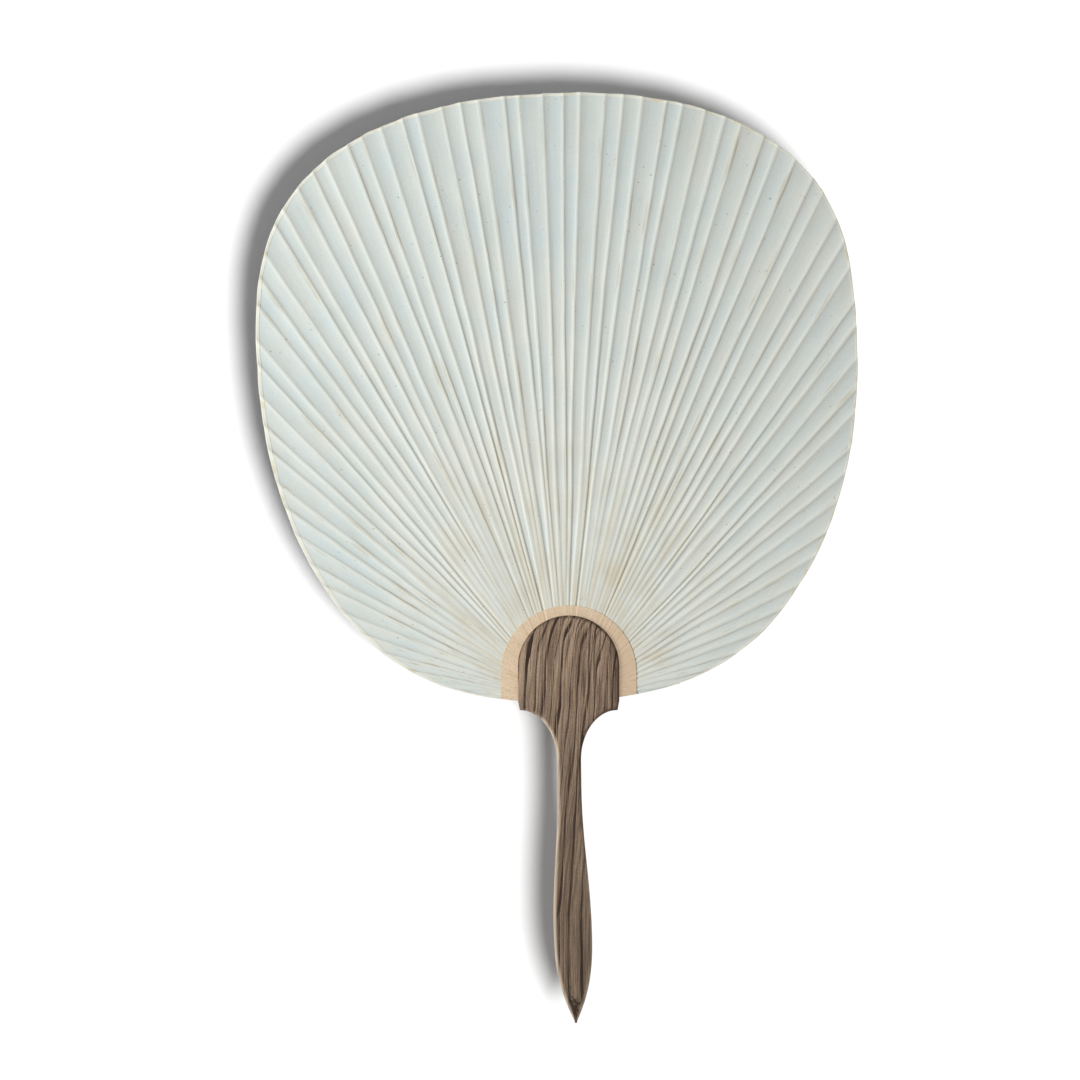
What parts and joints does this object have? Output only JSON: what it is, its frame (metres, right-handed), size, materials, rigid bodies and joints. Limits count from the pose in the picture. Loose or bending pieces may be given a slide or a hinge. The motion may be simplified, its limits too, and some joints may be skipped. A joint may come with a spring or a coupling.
{
  "type": "round uchiwa fan",
  "caption": "Rigid hand fan: a rounded, ridged paper leaf over fanned bamboo ribs, held in the slotted arched head of a flat wooden handle.",
  "frame": {"origin": "on the centre line of the handle's flat back, level with the point where the lines of the upright ribs meet, between the head's shoulders", "axes": "+X across the leaf to the right, +Y along the handle towards the top of the leaf, +Z out of the front face"},
  "size_m": [0.2457, 0.3795, 0.009],
  "materials": {
    "handle": "bare grey-brown hardwood with dark open grain, lightly oiled",
    "paper": "matt off-white handmade paper with fine fibres",
    "binding": "matt cream paper strip",
    "collar": "matt buff paper",
    "rib": "split bamboo, bare"
  },
  "bodies": {
    "root": {"handle": "handle", "front_paper": "paper", "back_paper": "paper", "rim_binding": "binding", "front_collar": "collar", "back_collar": "collar", "rib_centre": "rib", "rib_pair_01": "rib", "rib_pair_02": "rib", "rib_pair_03": "rib", "rib_pair_04": "rib", "rib_pair_05": "rib", "rib_pair_06": "rib", "rib_pair_07": "rib", "rib_pair_08": "rib", "rib_pair_09": "rib", "rib_pair_10": "rib", "rib_pair_11": "rib", "rib_pair_12": "rib", "rib_pair_13": "rib", "rib_pair_14": "rib", "rib_pair_15": "rib", "rib_pair_16": "rib", "rib_pair_17": "rib", "rib_pair_18": "rib", "rib_pair_19": "rib", "rib_pair_20": "rib", "rib_pair_21": "rib", "rib_pair_22": "rib", "rib_pair_23": "rib", "rib_pair_24": "rib", "rib_pair_25": "rib", "rib_pair_26": "rib", "rib_pair_27": "rib", "rib_pair_28": "rib", "rib_pair_29": "rib", "rib_pair_30": "rib", "rib_pair_31": "rib", "rib_pair_32": "rib", "rib_pair_33": "rib", "rib_pair_34": "rib"}
  },
  "joints": []
}
